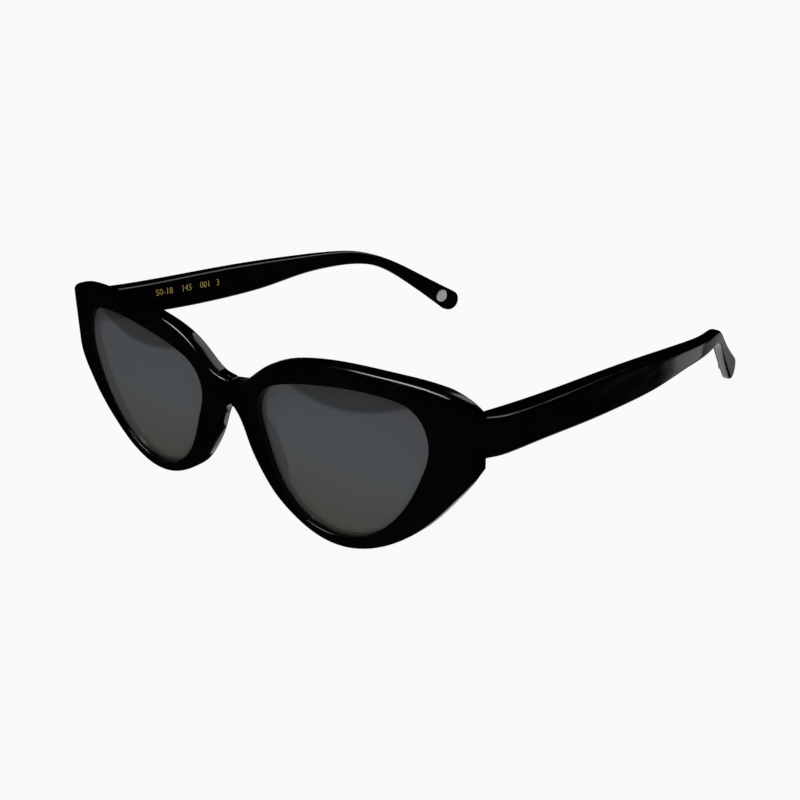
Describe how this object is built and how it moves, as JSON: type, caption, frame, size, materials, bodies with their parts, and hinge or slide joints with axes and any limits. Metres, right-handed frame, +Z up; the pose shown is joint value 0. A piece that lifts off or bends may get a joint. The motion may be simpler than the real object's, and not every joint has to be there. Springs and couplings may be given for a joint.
{
  "type": "cat eye sunglasses",
  "caption": "Cat eye sunglasses: thick polished acetate front with upswept end pieces, tinted lenses and hinged temples that fold flat behind the front.",
  "frame": {"origin": "middle of the footprint of the open sunglasses, on the surface that the rims and temple tips stand on", "axes": "+X towards the wearer's left temple, +Y from the front towards the temple tips, +Z up"},
  "size_m": [0.1406, 0.1544, 0.0441],
  "materials": {
    "black_acetate": "polished",
    "tinted_lens": "polished neutral grey tint",
    "hinge_metal": "tumbled nickel silver",
    "screw_steel": "polished steel",
    "core_wire": "drawn nickel silver",
    "inlay_metal": "fine brushed"
  },
  "bodies": {
    "front": {"front_frame": "black_acetate", "lens_left": "tinted_lens", "lens_right": "tinted_lens", "nose_pad_left": "black_acetate", "nose_pad_right": "black_acetate", "hinge_front_leaf_left": "hinge_metal", "hinge_front_leaf_right": "hinge_metal", "hinge_screw_left": "screw_steel", "hinge_screw_right": "screw_steel"},
    "left_temple": {"temple_left": "black_acetate", "hinge_temple_leaf_left": "hinge_metal", "temple_core_left": "core_wire", "tip_inlay_left": "inlay_metal"},
    "right_temple": {"temple_right": "black_acetate", "hinge_temple_leaf_right": "hinge_metal", "temple_core_right": "core_wire", "tip_inlay_right": "inlay_metal"}
  },
  "joints": [
    {"name": "left_temple_fold", "type": "hinge", "parent": "front", "child": "left_temple", "pos_m": [0.0623, -0.06735, 0.03356], "axis": [0, 0, 1], "range_deg": [0, 87]},
    {"name": "right_temple_fold", "type": "hinge", "parent": "front", "child": "right_temple", "pos_m": [-0.0623, -0.06735, 0.03356], "axis": [0, 0, -1], "range_deg": [0, 70]}
  ]
}
